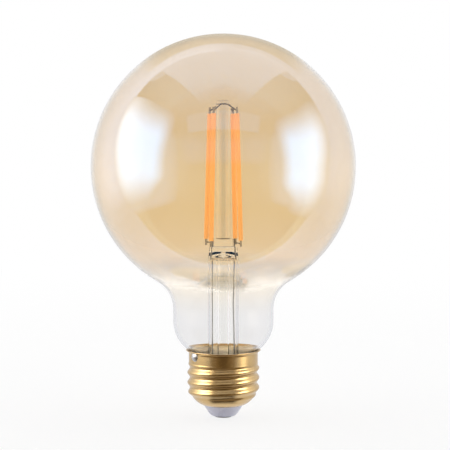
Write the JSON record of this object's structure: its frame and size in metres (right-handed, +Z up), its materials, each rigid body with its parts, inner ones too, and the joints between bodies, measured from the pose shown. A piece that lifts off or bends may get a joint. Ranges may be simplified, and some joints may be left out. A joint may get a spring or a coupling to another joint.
{
  "type": "led light bulb",
  "caption": "Amber glass globe bulb with upright light-emitting filament strips on a glass stem, and a brass screw cap with a white insulator and a centre contact.",
  "frame": {"origin": "middle of the centre contact's lower face, the lowest point of the bulb", "axes": "+Z up the bulb's axis from the cap to the top of the globe; +X to the right of the picture, through the right lead wire; -Y towards the camera"},
  "size_m": [0.095, 0.095, 0.138],
  "materials": {
    "amber_glass": "clear, tinted amber, fading to clear at the neck",
    "clear_glass": "clear, drawn tube and rod",
    "nickel_wire": "drawn nickel-plated wire",
    "filament_metal": "stamped strip, plated",
    "phosphor": "silicone with yellow-orange phosphor, matt",
    "cap_brass": "rolled sheet, bright",
    "insulator_plastic": "moulded, bluish white, slightly glossy",
    "contact_metal": "pressed, plated",
    "solder": "bright tin",
    "cement": "baked capping cement, matt",
    "circuit_board": "glass-fibre laminate, green",
    "black_epoxy": "moulded package",
    "capacitor_sleeve": "shrunk sleeve",
    "resistor_coat": "dipped coat",
    "tinned_wire": "tinned"
  },
  "bodies": {
    "root": {"globe": "amber_glass", "stem": "clear_glass", "exhaust_tube": "clear_glass", "centre_rod": "clear_glass", "lead_wire_left": "nickel_wire", "lead_wire_right": "nickel_wire", "cross_wire_left": "nickel_wire", "cross_wire_right": "nickel_wire", "top_wire_front": "nickel_wire", "top_wire_back": "nickel_wire", "filament_strip_1": "filament_metal", "filament_strip_2": "filament_metal", "filament_strip_3": "filament_metal", "filament_strip_4": "filament_metal", "filament_coat_1": "phosphor", "filament_coat_2": "phosphor", "filament_coat_3": "phosphor", "filament_coat_4": "phosphor", "screw_shell": "cap_brass", "insulator": "insulator_plastic", "centre_contact": "contact_metal", "side_solder": "solder", "solder_joints": "solder", "cement_ring": "cement", "driver_board": "circuit_board", "bridge_rectifier": "black_epoxy", "driver_chip": "black_epoxy", "smoothing_capacitor": "capacitor_sleeve", "fuse_resistor": "resistor_coat", "live_wire": "tinned_wire", "neutral_wire": "tinned_wire"}
  },
  "joints": []
}
